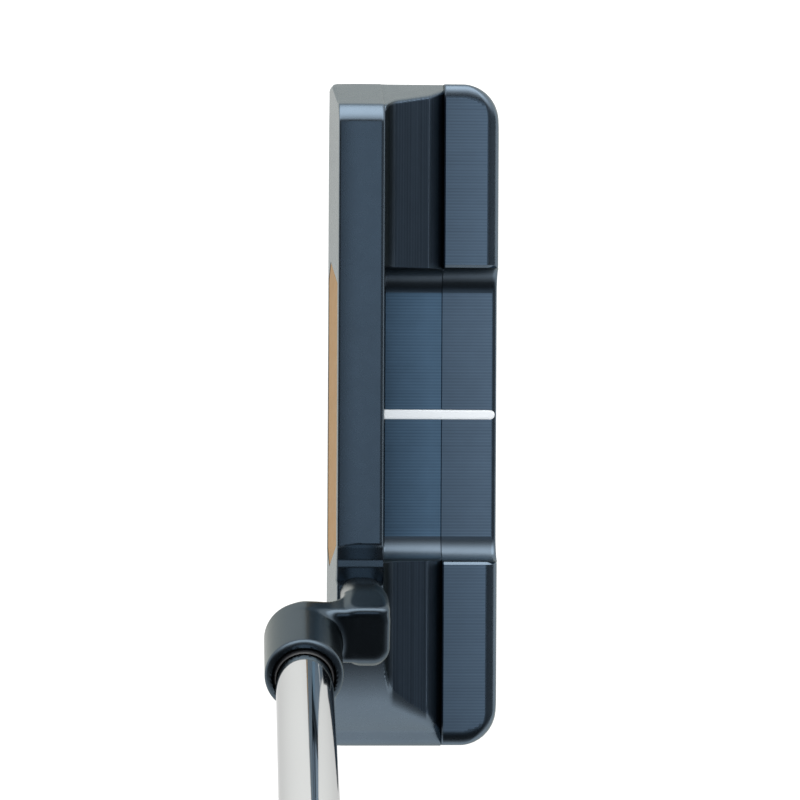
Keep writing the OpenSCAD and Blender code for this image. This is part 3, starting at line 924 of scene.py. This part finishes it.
def make_insert():
    """The face plate, with a fine bevel round its front."""
    outlines = []
    for depth, grow in ((0.05, -0.14), (0.09, -0.04), (0.19, 0.0), (1.6, 0.0)):
        y, z = np.array(insert_outline(grow)).T
        outlines.append(on_face(depth, y, z))
    plate = stacked("face_plate", outlines, sharp=60)
    dress(plate, BRONZE)
    return plate


def make_line():
    """The paint in the sight line's groove: a long fill that sinks a little at its edges."""
    low, top = LINE_LOW[2], LINE_HIGH[2] - 0.002
    outlines = []
    for share, z in ((1.0, low), (1.0, top - 0.09), (0.93, top - 0.04), (0.8, top - 0.012), (0.5, top)):
        outlines.append([(x, y, z) for x, y in line_outline(LINE_HIGH[1] * (1 - share))])
    fill = stacked("sight_line_paint", outlines, sharp=60)
    dress(fill, GLOWING_PAINT)
    return fill


def make_band():
    """A plain band of film round the shaft, with thin rolled edges and a fine groove near each end."""
    low, high, r, inner = BUTT_W - GRIP - 40, BUTT_W - GRIP - 14, 7.52, 7.42
    end = [(inner, 0), (r - 0.03, 0), (r, 0.05), (r, 2.0), (r - 0.04, 2.15), (r - 0.04, 2.6), (r, 2.75)]
    profile = [(a, low + w) for a, w in end] + [(a, high - w) for a, w in reversed(end)]
    ring = lathe("shaft_film_band", profile, NECK, AXIS, ACROSS, 96)
    dress(ring, BAND)
    return ring


def make_weight(end, side):
    """A turned sole weight with rings on its face and a hexagonal drive."""
    y, low, high = side * (WEIGHT_LOW[1] + WEIGHT_HIGH[1]) / 2, WEIGHT_LOW[2], WEIGHT_HIGH[2]
    profile = [(0, low + 0.12), (3.4, low + 0.12)]
    for r in (3.9, 4.4, 4.9, 5.4):
        profile += [(r - 0.2, low + 0.02), (r, low + 0.02), (r + 0.1, low + 0.1), (r + 0.2, low + 0.1)]
    root = SHANK - 0.3
    profile += [(5.9, low), (6.2, low), (FLANGE, low + 0.3), (FLANGE, low + 2.1), (6.35, low + 2.3),
                (SHANK, low + 2.3), (SHANK, low + 3.5)]
    for i in range(5):
        w = low + 3.7 + 0.6 * i
        profile += [(SHANK, w), (root, w + 0.2), (root, w + 0.3), (SHANK, w + 0.5)]
    profile += [(SHANK, high - 0.3), (root, high), (0, high)]
    origin = np.array([0.0, y, 0.0])
    body = lathe(end + "_screw_weight", profile, origin, UP, ACROSS, 96)
    cut(body, prism("drive", disc(2.3, 6), upright((0, y)), low - 1, low + 2.1))
    finish_edges(body, 30)
    dress(body, WEIGHT)
    return body


def make_seal(end, side):
    """A rubber sealing ring with a round edge."""
    low, high = (corner[2] for corner in box_mm(end + "_weight_seal"))
    y = side * (WEIGHT_LOW[1] + WEIGHT_HIGH[1]) / 2
    middle = (low + high) / 2
    t = np.linspace(-math.pi / 2, math.pi / 2, 9)
    outer = [(5.7 + 0.5 * math.cos(a), middle + (high - low) / 2 * math.sin(a)) for a in t]
    profile = [(3.75, low + 0.1), (3.85, low), *outer, (3.85, high), (3.75, high - 0.1)]
    ring = lathe(end + "_seal_ring", profile, np.array([0.0, y, 0.0]), UP, ACROSS, 72)
    dress(ring, SEAL)
    return ring


# ---------------------------------------------------------------- build

def add_piece(piece, body, node):
    """Puts a piece on its body, in place of a CAD node."""
    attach(piece, body)
    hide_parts(node)


add_piece(make_head(), "club", "head_body")
add_piece(make_neck(), "club", "head_body")
add_piece(make_shaft(), "club", "shaft")
add_piece(make_epoxy(), "club", "hosel_epoxy")
add_piece(make_grip(), "club", "grip_cover")
add_piece(make_cap(), "club", "grip_cap")
add_piece(make_insert(), "club", "face_insert")
add_piece(make_line(), "club", "alignment_line")
add_piece(make_band(), "club", "shaft_band")
for end, side in (("toe", 1), ("heel", -1)):
    add_piece(make_weight(end, side), end + "_weight_body", end + "_weight")
    add_piece(make_seal(end, side), end + "_seal_body", end + "_weight_seal")

for node, material in (("insert_backer", BACKER), ("insert_bond", BOND), ("shaft_tip_plug", PLUG),
                       ("grip_tape", TAPE), ("grip_core", CORE)):
    dress(frame["nodes"][node], material)


# ---------------------------------------------------------------- floor, light and camera

def make_floor():
    """A plain pale floor."""
    size, level = 3.0, -0.0006
    mesh = bpy.data.meshes.new("floor")
    mesh.from_pydata([(-size, -size, level), (size, -size, level), (size, size, level), (-size, size, level)],
                     [], [(0, 1, 2, 3)])
    floor = bpy.data.objects.new("floor", mesh)
    bpy.context.scene.collection.objects.link(floor)
    n = Nodes("floor_white")
    n.set(Base_Color=n.mix(n.noise(3, 2), (0.40, 0.40, 0.40), (0.42, 0.42, 0.42)))
    n.set(Roughness=0.9, Specular_IOR_Level=0.0)
    n.set(Emission_Color=(1.0, 0.995, 0.985, 1), Emission_Strength=1.0)
    dress(floor, n.material)


SKY_TOP = (0.63, 0.755, 0.88)             # panel straight above
SKY_DARK = (0.022, 0.025, 0.028)
SKY_REAR = (0.135, 0.150, 0.165)
SKY_STRENGTH = 4.0


def sky_ramp(tree, height, stops):
    """Colour of the surround along one side, from stops of an angle from straight above and a colour."""
    node = tree.nodes.new("ShaderNodeValToRGB")
    tree.links.new(height, node.inputs["Fac"])
    node.color_ramp.interpolation = "EASE"
    stops = sorted((math.cos(math.radians(angle)), colour) for angle, colour in stops)
    elements = node.color_ramp.elements
    while len(elements) < len(stops):
        elements.new(0.5)
    for element, (position, colour) in zip(elements, stops):
        element.position = position
        element.color = (*scaled(colour, 1 / SKY_STRENGTH), 1)
    return node.outputs[0]


def greys(*stops):
    """Stops for sky_ramp from pairs of an angle and a level of grey."""
    return [(angle, (level, level, level)) for angle, level in stops]


def make_world():
    """Soft studio surround: long lights beyond the toe and the heel, a panel above, dark elsewhere."""
    world = bpy.data.worlds.new("studio")
    world.use_nodes = True
    tree = world.node_tree
    nodes, links = tree.nodes, tree.links
    coords = nodes.new("ShaderNodeTexCoord")
    split = nodes.new("ShaderNodeSeparateXYZ")
    links.new(coords.outputs["Generated"], split.inputs[0])

    def math_node(operation, a, b, c=0.0):
        node = nodes.new("ShaderNodeMath")
        node.operation = operation
        for socket, value in zip(node.inputs, (a, b, c)):
            if isinstance(value, bpy.types.NodeSocket):
                links.new(value, socket)
            else:
                socket.default_value = value
        return node.outputs[0]

    x, y, z = split.outputs
    top = [(0, SKY_TOP), (9, SKY_TOP), (17, SKY_DARK)]
    low = [(0, SKY_TOP), (3, scaled(SKY_TOP, 0.88)), (6, scaled(SKY_TOP, 0.66)), (14, SKY_DARK)]
    toe = top + greys((22, 0.12), (33, 0.6), (41, 1.3), (50, 2.4), (60, 3.5), (90, 3.6))
    heel = low + greys((52, 0.04), (60, 0.22), (68, 0.5), (80, 0.95), (90, 1.5))
    rear = top + [(24, SKY_REAR), (76, SKY_REAR)] + greys((86, 0.05), (90, 0.05))
    front = top + greys((60, 0.07), (90, 0.25))
    toe, heel, rear, front = (sky_ramp(tree, z, stops) for stops in (toe, heel, rear, front))

    def mix(factor, a, b):
        node = nodes.new("ShaderNodeMix")
        node.data_type = "RGBA"
        links.new(factor, node.inputs[0])
        links.new(a, node.inputs[6])
        links.new(b, node.inputs[7])
        return node.outputs[2]

    flat = math_node("ADD", math_node("MULTIPLY", x, x), math_node("MULTIPLY", y, y))
    share = math_node("DIVIDE", math_node("MULTIPLY", y, y), math_node("MAXIMUM", flat, 0.0001))
    share = math_node("SMOOTH_MIN", math_node("MULTIPLY", share, 1.3), 1.0, 0.2)
    along = mix(math_node("GREATER_THAN", y, 0.0), heel, toe)
    across = mix(math_node("GREATER_THAN", x, 0.0), front, rear)
    links.new(mix(share, across, along), nodes["Background"].inputs["Color"])
    nodes["Background"].inputs["Strength"].default_value = SKY_STRENGTH
    bpy.context.scene.world = world


def make_camera():
    """Looks down on the head from above the face, a little off the vertical."""
    data = bpy.data.cameras.new("camera")
    data.sensor_width = 36.0
    data.lens = 153.0
    data.clip_start = 0.01
    camera = bpy.data.objects.new("camera", data)
    bpy.context.scene.collection.objects.link(camera)
    place = Vector((-31.7, 2.6, 622.0)) * MM
    aim = Vector((-2.7, 2.6, 17.0)) * MM
    back = (place - aim).normalized()
    right = Vector((0, 1, 0)).cross(back).normalized()
    up = back.cross(right)
    turn = Matrix((right, up, back)).transposed() @ Matrix.Rotation(math.radians(0.28), 3, "Z")
    camera.matrix_world = Matrix.Translation(place) @ turn.to_4x4()
    bpy.context.scene.camera = camera


make_floor()
make_world()
make_camera()
bpy.context.scene.view_settings.view_transform = "Standard"
